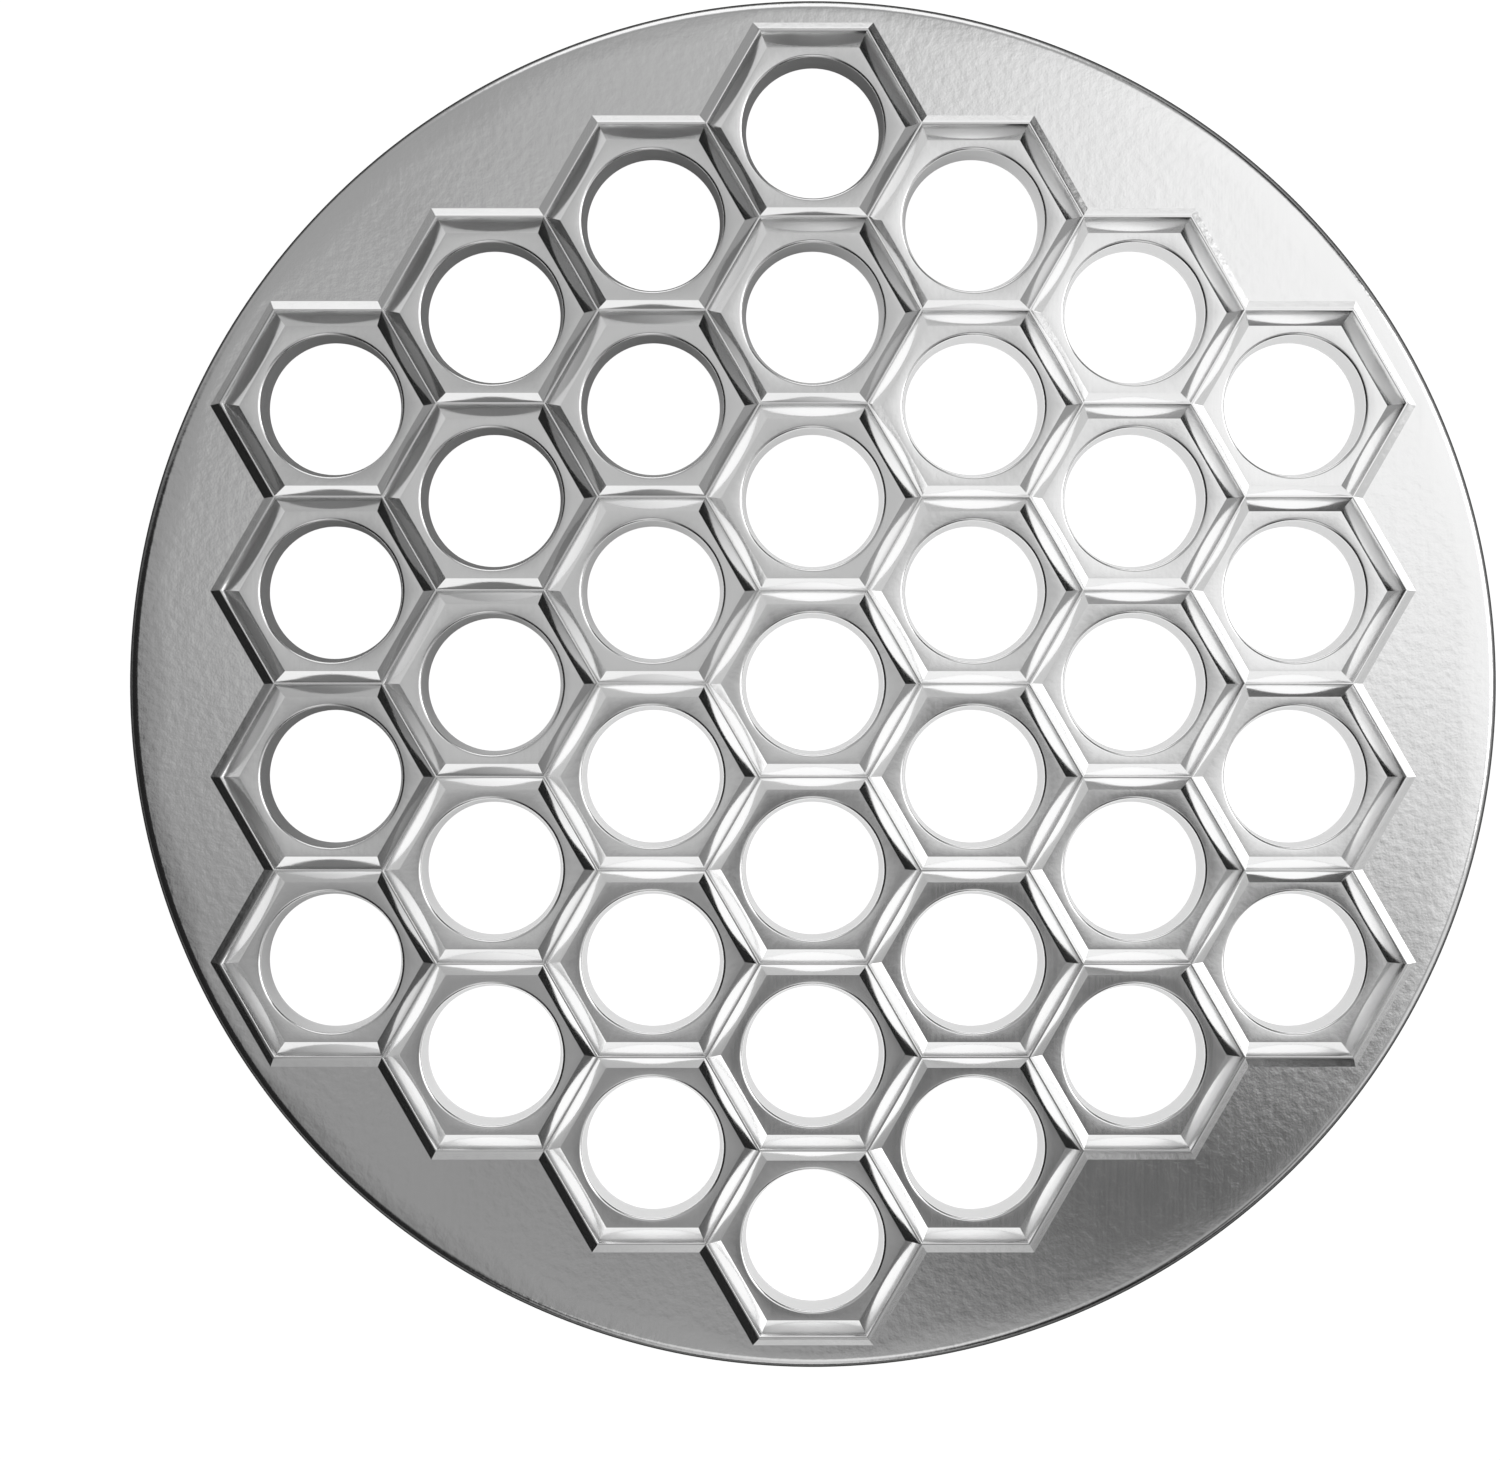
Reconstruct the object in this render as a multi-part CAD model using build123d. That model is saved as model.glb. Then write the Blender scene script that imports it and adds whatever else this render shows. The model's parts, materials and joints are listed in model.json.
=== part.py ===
from build123d import *
import os
from math import cos, radians, sin, sqrt

# A round cast aluminium mould for filled dumplings. Dough is laid over a honeycomb of sharp
# ridges, filled, covered with a second sheet and rolled, so each dumpling is cut out on the
# ridges and drops through the round hole of its cell. All sizes are in millimetres. The plate
# lies flat with its ridges up, and the origin is the centre of the circle that it stands on.

# Plate
narrowest_rim = 3.8        # from the honeycomb's outermost foot to the plate's edge
edge_radius = 1.8          # rounding of the rim's top edge
web_thickness = 2.2        # metal between the ridges and the open underside
rim_rise = 0.4             # the rim stands this much above the floors of the cells

# Honeycomb
cell_pitch = 33.2          # from flat to flat, and from one hole to the next
rings_round_centre = 3
floor_height = 6.5         # top of the cell floors above the table

# Cutting ridges
ridge_height = 3.5         # crest above the cell floors
ridge_foot_width = 4.6
crest_width = 0.3

# Hole and collar of each cell
hole_radius = 12.0         # the straight wall that a dumpling leaves by
straight_wall_length = 2.0
wall_draft = 0.6           # the hole is wider by this radius where the draft ends
mouth_round = 0.6          # rounding of the hole's upper edge
collar_wall = 1.4          # at the thinnest place, where the draft ends
collar_ground_gap = 0.3    # the collars stop short of the table

# Down-turned skirt that the plate stands on
skirt_wall = 2.4
skirt_foot_round = 0.5

# Sizes that follow from those above
web_bottom = floor_height - web_thickness
rim_top = floor_height + rim_rise
crest_height = floor_height + ridge_height
column_step = cell_pitch * sqrt(3) / 2
side_length = cell_pitch / sqrt(3)
half_foot = ridge_foot_width / 2
half_crest = crest_width / 2
flank_run_per_rise = (half_foot - half_crest) / ridge_height
half_foot_at_rim = half_foot - rim_rise * flank_run_per_rise
wall_top_radius = hole_radius + wall_draft
collar_radius = wall_top_radius + collar_wall
floor_across_flats = cell_pitch - ridge_foot_width

# The honeycomb's six corner cells reach furthest out, and the plate is a circle round them.
outermost_flat = (rings_round_centre + 0.5) * cell_pitch + half_foot_at_rim
outermost_half_side = side_length / 2 + half_foot_at_rim / sqrt(3)
plate_radius = sqrt(outermost_flat**2 + outermost_half_side**2) + narrowest_rim

side_angles = [30, 90, 150, 210, 270, 330]


def cell_ring(column, row):
    """Rings between a cell and the centre one. row counts in halves of a pitch."""
    across = abs(column)
    return max(across, (across + abs(row)) // 2)


def all_cells():
    """Column and row of each cell. Neighbours in one column are 2 rows apart."""
    cells = []
    for column in range(-rings_round_centre, rings_round_centre + 1):
        reach = 2 * rings_round_centre - abs(column)
        for row in range(-reach, reach + 1, 2):
            cells.append((column, row))
    return cells


cells = all_cells()
neighbour_steps = {30: (1, 1), 90: (0, 2), 150: (-1, 1), 210: (-1, -1), 270: (0, -2), 330: (1, -1)}


def cell_centre(cell):
    column, row = cell
    return column * column_step, row * cell_pitch / 2


def has_neighbour(cell, angle):
    step = neighbour_steps[angle % 360]
    return (cell[0] + step[0], cell[1] + step[1]) in cells


def closed_face(points):
    return make_face(Polyline(*points, close=True))


def hexagon(across_flats):
    """A hexagon with one pair of sides level, as the cells have."""
    return RegularPolygon(across_flats / 2, 6, major_radius=False, rotation=0)


def cell_socket():
    """One cell's floor with its hole and the collar below it."""
    floor = extrude(hexagon(floor_across_flats), web_thickness)
    collar = extrude(Circle(collar_radius), web_bottom - collar_ground_gap)
    body = Pos(0, 0, web_bottom) * floor + Pos(0, 0, collar_ground_gap) * collar

    bottom = collar_ground_gap
    draft_start = bottom + straight_wall_length
    draft_end = floor_height - mouth_round
    mouth_radius = wall_top_radius + mouth_round
    round_middle = mouth_round * (1 - sin(radians(45)))
    wall = Polyline((0, bottom), (hole_radius, bottom), (hole_radius, draft_start), (wall_top_radius, draft_end))
    mouth = ThreePointArc(
        (wall_top_radius, draft_end),
        (wall_top_radius + round_middle, floor_height - round_middle),
        (mouth_radius, floor_height),
    )
    lid = Polyline((mouth_radius, floor_height), (0, floor_height), (0, bottom))
    hole = revolve(make_face(Plane.XZ * (wall + mouth + lid)), Axis.Z)
    return body - hole


def ridge_bar(outer_half, outer_foot, outer_side_open_at):
    """One ridge along X, with its outer flank towards +Y and mitred ends.

    Three ridges meet at 120 degrees, so each end is a point cut back by half the width over the
    square root of 3. At an outer corner of the honeycomb only two meet, and there the outer side
    runs on by that much instead. outer_side_open_at holds -1 or 1 for each such end.
    """
    section = closed_face([
        (-half_foot, web_bottom),
        (outer_half, web_bottom),
        (outer_half, outer_foot),
        (half_crest, crest_height),
        (-half_crest, crest_height),
        (-half_foot, floor_height),
    ])
    end = side_length / 2
    inner_cut = half_foot / sqrt(3)
    outer_cut = {
        side: -outer_half / sqrt(3) if side in outer_side_open_at else outer_half / sqrt(3)
        for side in (-1, 1)
    }
    plan = closed_face([
        (-end + inner_cut, -half_foot),
        (end - inner_cut, -half_foot),
        (end, 0),
        (end - outer_cut[1], outer_half),
        (-end + outer_cut[-1], outer_half),
        (-end, 0),
    ])
    stock = Pos(-side_length, 0, 0) * extrude(Plane.YZ * section, 2 * side_length)
    return stock & extrude(plan, crest_height + web_thickness)


def on_side(shape, cell, angle):
    """Moves a ridge made along X to the side of a cell that faces angle."""
    x, y = cell_centre(cell)
    middle_x = x + cell_pitch / 2 * cos(radians(angle))
    middle_y = y + cell_pitch / 2 * sin(radians(angle))
    return Location((middle_x, middle_y, 0), (0, 0, angle - 90)) * shape


def inner_ridges(angle):
    """The ridges between two cells, of the one direction whose sides face angle."""
    bar = ridge_bar(half_foot, floor_height, ())
    return [on_side(bar, cell, angle) for cell in cells if has_neighbour(cell, angle)]


def border_ridges():
    """The ridges round the outside, whose outer flanks come down on the rim."""
    bars = {
        open_at: ridge_bar(half_foot_at_rim, rim_top, open_at)
        for open_at in ((), (-1,), (1,), (-1, 1))
    }
    placed = []
    for cell in cells:
        for angle in side_angles:
            if has_neighbour(cell, angle):
                continue
            open_ends = []
            if not has_neighbour(cell, angle + 60):
                open_ends.append(-1)
            if not has_neighbour(cell, angle - 60):
                open_ends.append(1)
            placed.append(on_side(bars[tuple(open_ends)], cell, angle))
    return placed


def rim_segments():
    """The flat rim in six like segments, one beside each side of the honeycomb."""
    inner_radius = rings_round_centre * column_step
    corner = edge_radius * (1 - sin(radians(45)))
    top = Polyline(
        (plate_radius, rim_top - edge_radius),
        (plate_radius, web_bottom),
        (inner_radius, web_bottom),
        (inner_radius, rim_top),
        (plate_radius - edge_radius, rim_top),
    )
    edge = ThreePointArc(
        (plate_radius - edge_radius, rim_top),
        (plate_radius - corner, rim_top - corner),
        (plate_radius, rim_top - edge_radius),
    )
    section = make_face(Plane.XZ * (top + edge))
    segment = Rot(0, 0, -30) * revolve(section, Axis.Z, 60)

    covered = hexagon(cell_pitch + 2 * half_foot_at_rim)
    for cell in cells:
        if cell[0] >= rings_round_centre - 1 and cell_ring(*cell) == rings_round_centre:
            x, y = cell_centre(cell)
            segment -= Pos(x, y, 0) * extrude(covered, crest_height)
    return [Rot(0, 0, angle) * segment for angle in range(0, 360, 60)]


def rim_skirt():
    """The ring below the rim that the plate stands on."""
    skirt = Cylinder(plate_radius, web_bottom, align=(Align.CENTER, Align.CENTER, Align.MIN))
    skirt -= Cylinder(plate_radius - skirt_wall, web_bottom, align=(Align.CENTER, Align.CENTER, Align.MIN))
    standing_edges = skirt.edges().group_by(Axis.Z)[0]
    return fillet(standing_edges, skirt_foot_round)


def save(node, solids):
    """Writes one node. Like pieces share a node as separate solids."""
    shape = solids[0] if len(solids) == 1 else Compound(children=list(solids))
    shape.label = node
    export_step(shape, f"parts/{node}.step")


os.makedirs("parts", exist_ok=True)

socket = cell_socket()
ring_names = ["centre_cell", "inner_ring_cells", "middle_ring_cells", "outer_ring_cells"]
for ring, node in enumerate(ring_names):
    placed = []
    for cell in cells:
        if cell_ring(*cell) == ring:
            x, y = cell_centre(cell)
            placed.append(Pos(x, y, 0) * socket)
    save(node, placed)

save("level_ridges", inner_ridges(90))
save("rising_ridges", inner_ridges(150))
save("falling_ridges", inner_ridges(30))
save("border_ridges", border_ridges())
save("rim_plate", rim_segments())
save("rim_skirt", [rim_skirt()])
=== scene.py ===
"""The finish of a round cast aluminium mould for filled dumplings, lying flat under soft light."""
import json

import bpy
import numpy as np
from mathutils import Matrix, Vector


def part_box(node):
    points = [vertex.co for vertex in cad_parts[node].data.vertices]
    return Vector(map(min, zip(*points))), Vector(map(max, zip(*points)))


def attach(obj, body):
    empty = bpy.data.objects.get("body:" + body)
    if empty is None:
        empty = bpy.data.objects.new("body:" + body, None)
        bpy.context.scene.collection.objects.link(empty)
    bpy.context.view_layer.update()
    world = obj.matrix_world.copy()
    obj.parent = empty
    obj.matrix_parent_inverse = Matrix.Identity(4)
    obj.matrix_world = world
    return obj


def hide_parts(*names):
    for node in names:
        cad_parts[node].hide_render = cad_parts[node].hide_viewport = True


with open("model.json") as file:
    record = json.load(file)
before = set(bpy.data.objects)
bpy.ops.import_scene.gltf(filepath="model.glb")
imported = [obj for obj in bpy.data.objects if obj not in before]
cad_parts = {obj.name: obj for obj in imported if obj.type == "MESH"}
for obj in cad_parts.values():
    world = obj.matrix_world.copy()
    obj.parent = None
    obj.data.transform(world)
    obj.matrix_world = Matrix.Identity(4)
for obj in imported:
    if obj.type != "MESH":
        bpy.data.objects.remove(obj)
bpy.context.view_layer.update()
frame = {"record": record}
MM = 0.001

# Rim and skirt
# The real piece is the flat border of the casting with its rounded outer edge, and the turned-down
# ring that it stands on. It is die-cast aluminium, tumbled and lightly polished, never painted.
holes = {mount["name"]: mount for mount in frame["record"]["mounts"]}
rings_round_centre = 3
cell_pitch = holes["back_hole"]["pos_m"][1] / rings_round_centre
side_length = cell_pitch / np.sqrt(3)
column_step = cell_pitch * np.sqrt(3) / 2
side_angles = np.arange(30, 390, 60)

rim_low, rim_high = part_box("rim_plate")
plate_radius = rim_high[0]
rim_top = rim_high[2]
web_bottom = rim_low[2]
edge_radius = 1.8 * MM
skirt_wall = 2.4 * MM
skirt_foot_round = 0.5 * MM
web_corner_round = 1.0 * MM
points_a_side = 12

dimple_size = 1.6 * MM
fine_dimple_size = 0.35 * MM
fine_dimple_share = 0.2
patch_size = 20 * MM
brush_length = 9 * MM
brush_stretch = (30, 1, 1)
noise_span = (0.3, 0.7)
darkest_patch_share = 0.96
roughness_spread = 0.1
as_cast_roughness = 0.42


def honeycomb_cells():
    """Column and row of the 37 cells. Neighbours in one column are 2 rows apart."""
    cells = []
    for column in range(-rings_round_centre, rings_round_centre + 1):
        reach = 2 * rings_round_centre - abs(column)
        cells += [(column, row) for row in range(-reach, reach + 1, 2)]
    return cells


def cell_centre(cell):
    """Column times the column step, and row times half a pitch."""
    return np.array([cell[0] * column_step, cell[1] * cell_pitch / 2])


def has_neighbour(cell, angle):
    """True where the next cell in that direction is one of the 37."""
    steps = {30: (1, 1), 90: (0, 2), 150: (-1, 1), 210: (-1, -1), 270: (0, -2), 330: (1, -1)}
    step = steps[int(angle) % 360]
    return (cell[0] + step[0], cell[1] + step[1]) in cells


cells = honeycomb_cells()


def honeycomb_outline():
    """The zigzag line of the outer ridges' crests, going round by polar angle.

    Each outer side runs from one corner of its cell to the next. Corners lie one side length from
    the cell's centre, 30 degrees to either side of the way the side faces.
    """
    sides = []
    for cell in cells:
        for angle in side_angles:
            if not has_neighbour(cell, angle):
                corners = np.radians([angle - 30, angle + 30])
                unit = np.column_stack([np.cos(corners), np.sin(corners)])
                sides.append(cell_centre(cell) + side_length * unit)
    sides = np.array(sides)
    middle = sides.mean(axis=1)
    sides = sides[np.argsort(np.arctan2(middle[:, 1], middle[:, 0]))]
    t = np.arange(points_a_side)[None, :, None] / points_a_side
    line = sides[:, :1] * (1 - t) + sides[:, 1:] * t
    return line.reshape(-1, 2)


def arc(centre_a, centre_b, radius, start, end, count):
    """Points on a quarter round: centre plus radius times the cosine and sine of even angles."""
    angle = np.radians(np.linspace(start, end, count))
    return np.column_stack([centre_a + radius * np.cos(angle), centre_b + radius * np.sin(angle)])


def rim_section():
    """Stations round the outside of the rim's section, as radius and height.

    They run down the rounded edge and the outer wall, round the foot and up the skirt's inner wall
    to the rounded corner below the web.
    """
    inner = plate_radius - skirt_wall
    edge = arc(plate_radius - edge_radius, rim_top - edge_radius, edge_radius, 90, 0, count=9)
    foot_out = arc(plate_radius - skirt_foot_round, skirt_foot_round, skirt_foot_round, 0, -90, count=5)
    foot_in = arc(inner + skirt_foot_round, skirt_foot_round, skirt_foot_round, -90, -180, count=5)
    corner = arc(inner - web_corner_round, web_bottom - web_corner_round, web_corner_round, 0, 90, count=5)
    return np.vstack([edge, foot_out, foot_in, corner])


def rim_points():
    """Rings of points that close round the rim's section.

    They start at the honeycomb's outline on top, and at each quarter of the way to the edge a
    point is the outline's times the rest of the share plus the edge's times the share. The last
    ring is the outline again, on the underside.
    """
    outline = honeycomb_outline()
    angle = np.arctan2(outline[:, 1], outline[:, 0])
    direction = np.column_stack([np.cos(angle), np.sin(angle)])
    flat_edge = (plate_radius - edge_radius) * direction
    rings = []
    for share in (0, 0.25, 0.5, 0.75):
        line = outline * (1 - share) + flat_edge * share
        rings.append(np.column_stack([line, np.full(len(line), rim_top)]))
    for radius, height in rim_section():
        rings.append(np.column_stack([direction * radius, np.full(len(outline), height)]))
    rings.append(np.column_stack([outline, np.full(len(outline), web_bottom)]))
    return np.array(rings)


def ring_quads(rows, columns):
    """Faces of a grid that closes on itself both ways, each row a loop round the piece."""
    row, column = np.meshgrid(np.arange(rows), np.arange(columns), indexing="ij")
    next_row = (row + 1) % rows
    next_column = (column + 1) % columns
    corners = [row * columns + next_column, next_row * columns + next_column,
               next_row * columns + column, row * columns + column]
    return np.stack(corners, axis=-1).reshape(-1, 4)


def make_piece(name, points, faces, material, nodes, crease=38):
    """A closed mesh in the plate's own frame, smooth except where it turns by more than crease."""
    mesh = bpy.data.meshes.new(name)
    mesh.from_pydata(np.asarray(points).tolist(), [], [list(face) for face in faces])
    mesh.validate()
    mesh.shade_smooth()
    mesh.set_sharp_from_angle(angle=np.radians(crease))
    mesh.materials.append(material)
    piece = bpy.data.objects.new(name, mesh)
    bpy.context.collection.objects.link(piece)
    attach(piece, "root")
    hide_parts(*nodes)
    return piece


def grey(level):
    """An opaque neutral colour."""
    return level, level, level, 1


def feed(tree, socket, value):
    """Links another node's output to the socket, or sets the socket to a constant."""
    if isinstance(value, bpy.types.NodeSocket):
        tree.links.new(value, socket)
    else:
        socket.default_value = value


def calculated(tree, operation, first, second=None):
    """What a math node makes of one or two values."""
    node = tree.nodes.new("ShaderNodeMath")
    node.operation = operation
    feed(tree, node.inputs[0], first)
    if second is not None:
        feed(tree, node.inputs[1], second)
    return node.outputs["Value"]


def ranged(tree, value, start, end, smooth=False):
    """The value carried from the start range to the end range, held there, by a line or smoothly."""
    node = tree.nodes.new("ShaderNodeMapRange")
    if smooth:
        node.interpolation_type = "SMOOTHSTEP"
    names = ("From Min", "From Max", "To Min", "To Max")
    for name, limit in zip(names, (*start, *end)):
        node.inputs[name].default_value = limit
    feed(tree, node.inputs["Value"], value)
    return node.outputs["Result"]


def mixed(tree, share, first, second, kind="FLOAT"):
    """The first value where the share is 0, going over to the second where it is 1."""
    node = tree.nodes.new("ShaderNodeMix")
    node.data_type = kind
    feed(tree, node.inputs["Factor"], share)
    feed(tree, node.inputs["A"], first)
    feed(tree, node.inputs["B"], second)
    return node.outputs["Result"]


def cast_aluminium(name, reflectance, roughness, dimple_height, brush_height,
                   skin_and_shade_reflectance, skin_and_shade_tint, side_slopes):
    """Bare aluminium with the faint dimples of the die, brush lines across it and uneven sheen.

    The dimples are a coarse noise and a finer one, the brush lines a noise stretched along Y, and
    a large slow noise shifts the tone and the roughness by a few percent. What lies nearly level
    is bright. Between the two side_slopes, in degrees from level, a face turns to the rougher skin
    that the casting has from the mould and to a darker colour and edge tint of its own: partly that
    skin, partly painted shade on the steep faces.
    """
    material = bpy.data.materials.new(name)
    material.use_nodes = True
    tree = material.node_tree
    shader = tree.nodes["Principled BSDF"]
    shader.inputs["Metallic"].default_value = 1.0
    place = tree.nodes.new("ShaderNodeTexCoord").outputs["Object"]

    def noise(across, detail, stretch=(1, 1, 1)):
        mapping = tree.nodes.new("ShaderNodeMapping")
        mapping.inputs["Scale"].default_value = [part / across for part in stretch]
        tree.links.new(place, mapping.inputs["Vector"])
        texture = tree.nodes.new("ShaderNodeTexNoise")
        texture.inputs["Scale"].default_value = 1.0
        texture.inputs["Detail"].default_value = detail
        tree.links.new(mapping.outputs["Vector"], texture.inputs["Vector"])
        return texture.outputs["Fac"]

    patches = noise(patch_size, detail=3)
    brushing = noise(brush_length, detail=4, stretch=brush_stretch)
    tone = mixed(tree, ranged(tree, patches, noise_span, (0, 1)),
                 grey(reflectance * darkest_patch_share), grey(reflectance), "RGBA")

    upward = tree.nodes.new("ShaderNodeSeparateXYZ")
    tree.links.new(tree.nodes.new("ShaderNodeNewGeometry").outputs["Normal"], upward.inputs["Vector"])
    level = calculated(tree, "ABSOLUTE", upward.outputs["Z"])
    # Painted shade: steeper faces get a darker base colour and edge tint, besides their real rougher skin.
    dull, bright = np.cos(np.radians(side_slopes[1])), np.cos(np.radians(side_slopes[0]))
    polished_and_lit = ranged(tree, level, (dull, bright), (0, 1))
    feed(tree, shader.inputs["Base Color"], mixed(tree, polished_and_lit, grey(skin_and_shade_reflectance), tone, "RGBA"))
    feed(tree, shader.inputs["Specular Tint"], mixed(tree, polished_and_lit, grey(skin_and_shade_tint), grey(1), "RGBA"))

    least, most = roughness * (1 - roughness_spread), roughness * (1 + roughness_spread)
    strokes = roughness * roughness_spread
    sheen = calculated(tree, "ADD", ranged(tree, patches, noise_span, (least, most)),
                       ranged(tree, brushing, noise_span, (-strokes, strokes)))
    feed(tree, shader.inputs["Roughness"], mixed(tree, polished_and_lit, as_cast_roughness, sheen))

    surface = None
    for height, pattern in (
        (dimple_height, noise(dimple_size, detail=2)),
        (dimple_height * fine_dimple_share, noise(fine_dimple_size, detail=2)),
        (brush_height, brushing),
    ):
        bump = tree.nodes.new("ShaderNodeBump")
        bump.inputs["Strength"].default_value = 1.0
        bump.inputs["Distance"].default_value = height
        tree.links.new(pattern, bump.inputs["Height"])
        if surface is not None:
            tree.links.new(surface, bump.inputs["Normal"])
        surface = bump.outputs["Normal"]
    tree.links.new(surface, shader.inputs["Normal"])
    return material


# Painted shade: the rounded outer edge and the skirt's wall turn nearly black, colour 0.12 and edge tint
# 0.1, for the dark line round the plate.
rim_finish = cast_aluminium(
    "rim_metal", reflectance=0.92, roughness=0.15, dimple_height=0.03 * MM, brush_height=0.002 * MM,
    skin_and_shade_reflectance=0.12, skin_and_shade_tint=0.1, side_slopes=(35, 60))
rim_rings = rim_points()
make_piece("rim", rim_rings.reshape(-1, 3), ring_quads(rim_rings.shape[0], rim_rings.shape[1]),
           rim_finish, ["rim_plate", "rim_skirt"])

# Cell floors
# Each cell of the casting is a small hexagonal floor with a round hole through it. The hole's edge
# is rounded by the polishing, its wall narrows downwards, and a collar carries it to the underside.
floor_low, floor_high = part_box("centre_cell")
floor_height = floor_high[2]
collar_bottom = floor_low[2]
floor_apothem = floor_high[1]
hole_radius = holes["centre_hole"]["dims"]["r_mm"] * MM
straight_wall_length = holes["centre_hole"]["dims"]["length_mm"] * MM
wall_draft = 0.6 * MM
mouth_round = 0.6 * MM
collar_wall = 1.4 * MM
collar_foot_round = 0.4 * MM
points_round_hole = 96

# Partly painted shade: the hole walls and hexagon sides get a darker colour, 0.7, than the level floors,
# besides their rougher as-cast skin.
cell_finish = cast_aluminium(
    "cell_metal", reflectance=0.92, roughness=0.17, dimple_height=0.01 * MM, brush_height=0.001 * MM,
    skin_and_shade_reflectance=0.7, skin_and_shade_tint=1, side_slopes=(60, 76))


def hexagon_reach(angle):
    """Distance to a hexagon's side at an angle: the apothem over the cosine of the angle from the
    nearest way that a side faces."""
    from_side = (np.degrees(angle) % 60) - 30
    return floor_apothem / np.cos(np.radians(from_side))


def cell_rings():
    """One cell as closed rings: up the hole's wall, over its rounded mouth, out along the floor to
    the hexagon, down its side, back below to the collar and round the collar's foot."""
    angle = np.radians(np.arange(points_round_hole) * 360 / points_round_hole)
    direction = np.column_stack([np.cos(angle), np.sin(angle)])
    wall_top_radius = hole_radius + wall_draft
    collar_radius = wall_top_radius + collar_wall
    foot_height = collar_bottom + collar_foot_round
    wall = [(hole_radius, foot_height), (hole_radius, collar_bottom + straight_wall_length)]
    mouth = arc(wall_top_radius + mouth_round, floor_height - mouth_round, mouth_round, 180, 90, count=8)
    foot = arc(collar_radius - collar_foot_round, foot_height, collar_foot_round, 0, -90, count=4)
    foot_in = arc(hole_radius + collar_foot_round, foot_height, collar_foot_round, 270, 180, count=4)

    def ring(reach, height):
        return np.column_stack([direction * reach, np.full(points_round_hole, height)])

    hexagon = hexagon_reach(angle)[:, None]
    rings = [ring(radius, height) for radius, height in np.vstack([wall, mouth])]
    rings += [ring(hexagon, floor_height), ring(hexagon, web_bottom), ring(collar_radius, web_bottom)]
    rings += [ring(radius, height) for radius, height in np.vstack([foot, foot_in[:-1]])]
    return np.array(rings)


def cell_ring(cell):
    """Rings between a cell and the centre one."""
    across = abs(cell[0])
    return max(across, (across + abs(cell[1])) // 2)


def place_copies(points, faces, shifts):
    """The same mesh at several places: points shifted and faces counted on, as one mesh."""
    moved = points[None] + np.asarray(shifts)[:, None, :]
    counted = faces[None] + len(points) * np.arange(len(shifts))[:, None, None]
    return moved.reshape(-1, 3), counted.reshape(-1, faces.shape[1])


one_cell = cell_rings()
cell_faces = ring_quads(one_cell.shape[0], one_cell.shape[1])
for ring, node in enumerate(["centre_cell", "inner_ring_cells", "middle_ring_cells", "outer_ring_cells"]):
    shifts = [(*cell_centre(cell), 0) for cell in cells if cell_ring(cell) == ring]
    points, faces = place_copies(one_cell.reshape(-1, 3), cell_faces, shifts)
    make_piece(node.replace("cell", "cell_floor"), points, faces, cell_finish, [node])

# Ridges between cells
# The ridges are the cutting edges of the casting: straight bars with a sharp crest, ground bright.
# Three meet at each corner in crisp mitres, and their flat flanks run straight down to the floors.
crest_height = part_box("level_ridges")[1][2]
half_foot = cell_pitch / 2 - floor_apothem
crest_edge = 0.15 * MM
crest_round = 0.1 * MM
root_step = 0.1 * MM
rows_down_flank = 4
stations_along = 7

# Partly painted shade: the ridges' steepest faces get a darker colour, 0.7, besides their rougher as-cast
# skin.
ridge_finish = cast_aluminium(
    "ridge_metal", reflectance=0.93, roughness=0.13, dimple_height=0.003 * MM, brush_height=0.0006 * MM,
    skin_and_shade_reflectance=0.7, skin_and_shade_tint=1, side_slopes=(66, 80))


def flank(foot_height):
    """One side of a ridge from its crest down to its foot, as distance from the middle and height.

    A flat slope from the crest's edge, the same for every ridge, so a flank that comes down on the
    rim stops sooner. The last point runs on a little below the surface.
    """
    slope = np.arctan2(crest_height - floor_height, half_foot - crest_edge)
    crown_start = crest_edge - crest_round * np.tan(slope / 2)
    crown = arc(crown_start, crest_height - crest_round, crest_round, 90, 90 - np.degrees(slope), count=4)
    drop = (crest_height - foot_height) * np.linspace(0, 1, rows_down_flank)[1:]
    distance = crest_edge + drop / np.tan(slope)
    toe = (distance[-1] + root_step / np.tan(slope), foot_height - root_step)
    return np.vstack([crown, np.column_stack([distance, crest_height - drop]), [toe]])


def bar_section(outer_foot_height):
    """A ridge's closed section: crest centre, outer side down to the middle, inner side back up.

    Also returns which point is the first one back on the centre line, below the outer half.
    """
    outer = flank(outer_foot_height)
    inner = flank(floor_height)[::-1] * [-1, 1]
    if outer_foot_height > floor_height:
        outer_root = [(0, outer_foot_height - root_step), (0, web_bottom)]
        middle = len(outer) + 1
    else:
        outer_root = [(half_foot, outer_foot_height - root_step), (half_foot, web_bottom), (0, web_bottom)]
        middle = len(outer) + 3
    inner_root = [(-half_foot, web_bottom), (-half_foot, floor_height - root_step)]
    return np.vstack([[(0, crest_height)], outer, outer_root, inner_root, inner]), middle


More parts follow.
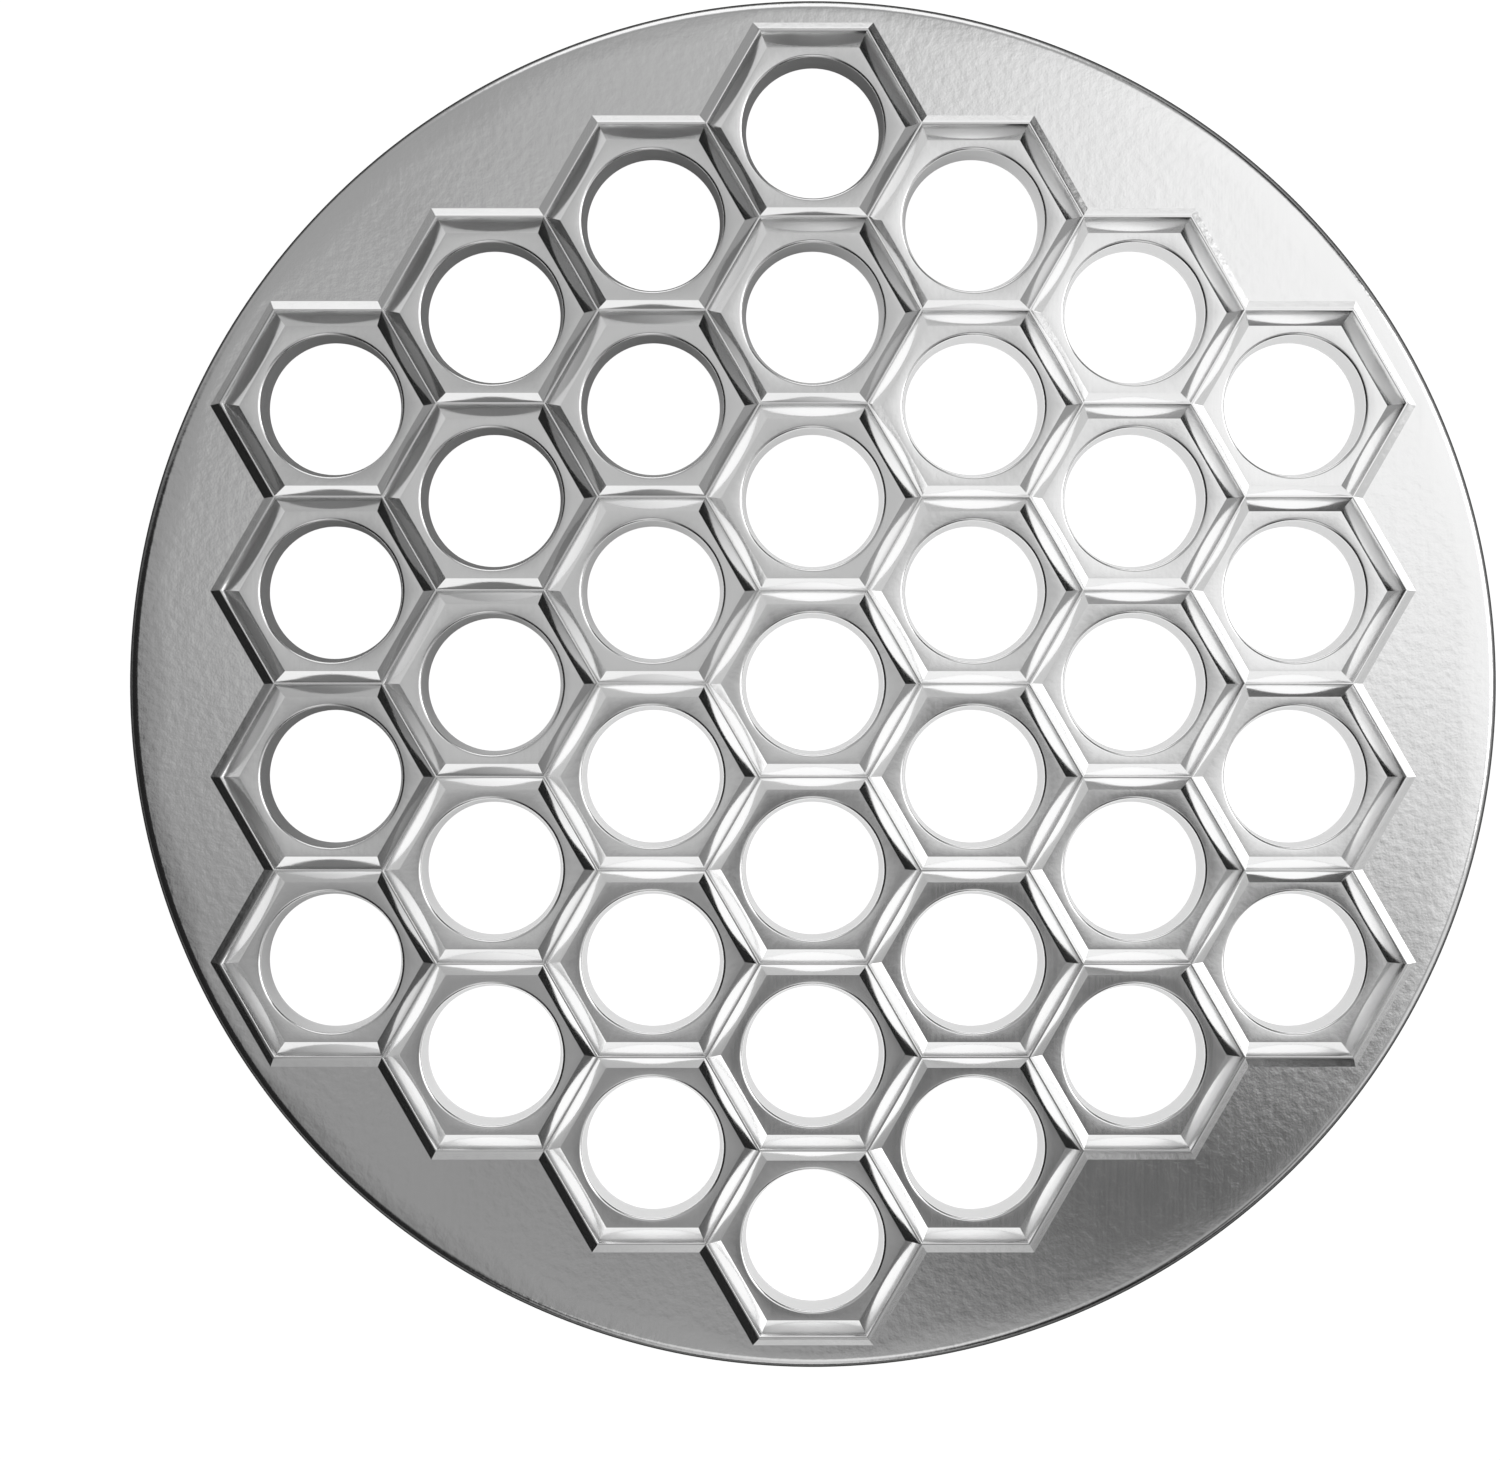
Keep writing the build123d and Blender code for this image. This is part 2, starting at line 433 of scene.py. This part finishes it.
def ridge_bar(outer_foot_height, open_ends=()):
    """Points and faces of one ridge along X with its outer side towards +Y.

    At each end a point is cut back by its distance from the centre line over the square root of
    3, which is the mitre of three bars at 120 degrees. At an open end only two bars meet, and the
    outer side runs on by as much.
    """
    section, middle = bar_section(outer_foot_height)
    across, height = section.T
    cut = {}
    for end in (-1, 1):
        outer_sign = -1 if end in open_ends else 1
        cut[end] = np.where(across > 0, outer_sign * across, -across) / np.sqrt(3)
    start = -side_length / 2 + cut[-1]
    finish = side_length / 2 - cut[1]
    share = np.linspace(0, 1, stations_along)[:, None]
    along = start * (1 - share) + finish * share
    points = np.stack(np.broadcast_arrays(along, across, height), axis=-1)
    count = len(section)
    station, index = np.meshgrid(np.arange(stations_along - 1), np.arange(count), indexing="ij")
    after = (index + 1) % count
    sides = np.stack([station * count + after, (station + 1) * count + after,
                      (station + 1) * count + index, station * count + index], axis=-1).reshape(-1, 4)
    outer_half = list(range(0, middle + 1))
    inner_half = [0] + list(range(middle, count))
    last = (stations_along - 1) * count
    caps = [outer_half[::-1], inner_half[::-1],
            [last + corner for corner in outer_half], [last + corner for corner in inner_half]]
    return points.reshape(-1, 3), sides.tolist() + caps


def turned(points, cell, angle):
    """Points of a bar made along X, turned and moved to the side of a cell that faces angle."""
    turn = np.radians(angle - 90)
    cos, sin = np.cos(turn), np.sin(turn)
    facing = np.radians(angle)
    middle = cell_centre(cell) + cell_pitch / 2 * np.array([np.cos(facing), np.sin(facing)])
    moved = points.copy()
    moved[:, 0] = points[:, 0] * cos - points[:, 1] * sin + middle[0]
    moved[:, 1] = points[:, 0] * sin + points[:, 1] * cos + middle[1]
    return moved


def gather(bars):
    """Joins the points and faces of several bars into one mesh."""
    all_points, all_faces, counted = [], [], 0
    for points, faces in bars:
        all_points.append(points)
        all_faces += [[index + counted for index in face] for face in faces]
        counted += len(points)
    return np.vstack(all_points), all_faces


bar_points, bar_faces = ridge_bar(floor_height)
for angle, node in ((90, "level_ridges"), (150, "rising_ridges"), (30, "falling_ridges")):
    bars = [(turned(bar_points, cell, angle), bar_faces) for cell in cells if has_neighbour(cell, angle)]
    points, faces = gather(bars)
    make_piece(node.replace("ridges", "ridge_bars"), points, faces, ridge_finish, [node])

# Border ridges
# The 42 outermost ridges are the same bars, but their outer flanks are lower because they come
# down on the rim, which stands a little above the cell floors.
border_bars = []
for cell in cells:
    for angle in side_angles:
        if not has_neighbour(cell, angle):
            next_sides = ((-1, angle + 60), (1, angle - 60))
            open_ends = [end for end, side in next_sides if not has_neighbour(cell, side)]
            bar_points, bar_faces = ridge_bar(rim_top, open_ends)
            border_bars.append((turned(bar_points, cell, angle), bar_faces))
points, faces = gather(border_bars)
make_piece("border_ridge_bars", points, faces, ridge_finish, ["border_ridges"])

# Floor
# The plate lies on a plain white surface, which shows white through the holes and round the rim
# and still takes the plate's soft shadow.
floor_half_width = 1.5
gap_under_skirt = 0.05 * MM
paint_reflectance = 0.8
# The eye and the metal see a darker copy of the paint plus a glow. For the metal the glow is a painted
# pool of light, full at the lower right, fading to the upper left and dimmed past the plate's edge.
seen_paint_reflectance = 0.22
eye_glow = 0.97
metal_painted_glow = (0.09, 1.0)
painted_glow_azimuth = -40
painted_glow_span = (-0.5 * plate_radius, -0.1 * plate_radius)
painted_dimming_share = (1.0, 0.08)
painted_dimming_span = (1.0 * plate_radius, 1.08 * plate_radius)


def towards(azimuth, elevation):
    """A direction from its angle round from +X and its angle up from the table."""
    azimuth, elevation = np.radians([azimuth, elevation])
    return np.cos(azimuth) * np.cos(elevation), np.sin(azimuth) * np.cos(elevation), np.sin(elevation)


def white_table():
    """White paint with a white glow for the eye, and a glow that fades for what the metal sees.

    The metal sees a painted pool of light in the table's glow, full at the lower right and fading
    to the upper left by a smooth step, and a painted dimming where the table runs out past the
    plate's edge. The pool is the table's own emission, not light from anything in the room.
    """
    material = bpy.data.materials.new("white_table")
    material.use_nodes = True
    tree = material.node_tree
    tree.nodes.clear()
    place = tree.nodes.new("ShaderNodeTexCoord").outputs["Object"]
    rays = tree.nodes.new("ShaderNodeLightPath").outputs
    rightward = tree.nodes.new("ShaderNodeVectorMath")
    rightward.operation = "DOT_PRODUCT"
    rightward.inputs[1].default_value = towards(painted_glow_azimuth, 0)
    tree.links.new(place, rightward.inputs[0])
    outward = tree.nodes.new("ShaderNodeVectorMath")
    outward.operation = "LENGTH"
    tree.links.new(place, outward.inputs[0])
    # Painted light: a glowing pool on the table for the metal to reflect, with painted dimming past the
    # plate's edge.
    painted_light_pool = ranged(tree, rightward.outputs["Value"], painted_glow_span, metal_painted_glow, smooth=True)
    painted_dimming_past_edge = ranged(tree, outward.outputs["Value"], painted_dimming_span, painted_dimming_share, smooth=True)
    brightness = mixed(tree, rays["Is Camera Ray"], calculated(tree, "MULTIPLY", painted_light_pool, painted_dimming_past_edge), eye_glow)

    glow = tree.nodes.new("ShaderNodeEmission")
    feed(tree, glow.inputs["Strength"], brightness)
    lit = tree.nodes.new("ShaderNodeBsdfDiffuse")
    lit.inputs["Color"].default_value = grey(seen_paint_reflectance)
    seen = tree.nodes.new("ShaderNodeAddShader")
    tree.links.new(lit.outputs["BSDF"], seen.inputs[0])
    tree.links.new(glow.outputs["Emission"], seen.inputs[1])
    plain = tree.nodes.new("ShaderNodeBsdfDiffuse")
    plain.inputs["Color"].default_value = grey(paint_reflectance)
    direct = calculated(tree, "MAXIMUM", rays["Is Camera Ray"], rays["Is Glossy Ray"])
    choose = tree.nodes.new("ShaderNodeMixShader")
    feed(tree, choose.inputs["Fac"], calculated(tree, "MAXIMUM", direct, rays["Is Transmission Ray"]))
    tree.links.new(plain.outputs["BSDF"], choose.inputs[1])
    tree.links.new(seen.outputs["Shader"], choose.inputs[2])
    output = tree.nodes.new("ShaderNodeOutputMaterial")
    tree.links.new(choose.outputs["Shader"], output.inputs["Surface"])
    return material


floor_corners = [(x * floor_half_width, y * floor_half_width, -gap_under_skirt)
                 for x, y in ((-1, -1), (1, -1), (1, 1), (-1, 1))]
floor_mesh = bpy.data.meshes.new("table")
floor_mesh.from_pydata(floor_corners, [], [(0, 1, 2, 3)])
floor_mesh.materials.append(white_table())
table = bpy.data.objects.new("table", floor_mesh)
bpy.context.collection.objects.link(table)

# Studio light
# Soft boxes seen only as smooth patches of the surroundings. Five overhead light the flat metal, and
# twelve round the horizon, paler or darker than the room, give the flanks their bands. The eye
# sees the room itself as plain white.
room_level = 0.44
lowest_level = 0.02
wall_reflectance = 0.8
eye_level = 1.0

# Each patch is its direction, the angles in degrees at which it is full and at which it ends, and
# how much it adds.
overhead_patches = [
    ((0.42, 0.19, 1), 11, 23, 0.83),
    ((0.2, -0.13, 1), 0, 12, -0.34),
    ((0, 0.24, 1), 3, 8, 0.15),
    ((-0.08, 0.05, 1), 2, 9, 0.28),
    ((-0.01, -0.1, 1), 1, 8, -0.16),
]
horizon_patches = [
    (towards(12, 35), 16, 22, 2.0),
    (towards(46, 26), 9, 18, -0.4),
    (towards(92, 22), 18, 28, 0.9),
    (towards(192, 44), 20, 28, -0.44),
    (towards(210, 22), 35, 60, -0.44),
    (towards(264, 25), 10, 22, 0.45),
    (towards(270, 54), 8, 16, 0.6),
    (towards(270, 0), 6, 14, -0.7),
    (towards(290, 25), 8, 16, -0.5),
    (towards(308, 0), 14, 26, -0.44),
    (towards(316, 36), 8, 16, -0.4),
    (towards(332, 24), 12, 26, 0.45),
]


def studio_light(patches):
    """The room's level plus each patch's amount, which fades smoothly from its inner angle to its
    outer one. The sum is held above the lowest level and taken times the walls' reflectance."""
    world = bpy.data.worlds.new("studio")
    world.use_nodes = True
    tree = world.node_tree
    tree.nodes.clear()
    looking = tree.nodes.new("ShaderNodeTexCoord").outputs["Generated"]
    level = room_level
    for direction, inner, outer, amount in patches:
        facing = tree.nodes.new("ShaderNodeVectorMath")
        facing.operation = "DOT_PRODUCT"
        facing.inputs[1].default_value = Vector(direction).normalized()
        tree.links.new(looking, facing.inputs[0])
        span = (np.cos(np.radians(outer)), np.cos(np.radians(inner)))
        patch = ranged(tree, facing.outputs["Value"], span, (0, amount), smooth=True)
        level = calculated(tree, "ADD", patch, level)
    lit = calculated(tree, "MULTIPLY", calculated(tree, "MAXIMUM", level, lowest_level), wall_reflectance)
    rays = tree.nodes.new("ShaderNodeLightPath").outputs
    background = tree.nodes.new("ShaderNodeBackground")
    background.inputs["Color"].default_value = grey(1)
    feed(tree, background.inputs["Strength"], mixed(tree, rays["Is Camera Ray"], lit, eye_level))
    output = tree.nodes.new("ShaderNodeOutputWorld")
    tree.links.new(background.outputs["Background"], output.inputs["Surface"])
    return world


bpy.context.scene.world = studio_light(overhead_patches + horizon_patches)

# Camera
# It looks straight down from a little in front and to the left of the plate's centre. Its height
# gives the photograph's parallax between crests, floors and lower edges of the holes.
image_width = 1500
image_centre = (750, 730)
disc_radius_in_image = 682.6
disc_centre_in_image = (812.9, 684.1)
camera_distance = 470 * MM
widest_height = rim_top - edge_radius
metres_per_pixel = plate_radius / disc_radius_in_image

camera_data = bpy.data.cameras.new("camera")
camera_data.sensor_width = 36
camera_data.lens = camera_data.sensor_width * camera_distance / (image_width * metres_per_pixel)
camera = bpy.data.objects.new("camera", camera_data)
camera.location = (
    (image_centre[0] - disc_centre_in_image[0]) * metres_per_pixel,
    (disc_centre_in_image[1] - image_centre[1]) * metres_per_pixel,
    widest_height + camera_distance,
)
bpy.context.collection.objects.link(camera)
bpy.context.scene.camera = camera
bpy.context.scene.view_settings.view_transform = "Standard"
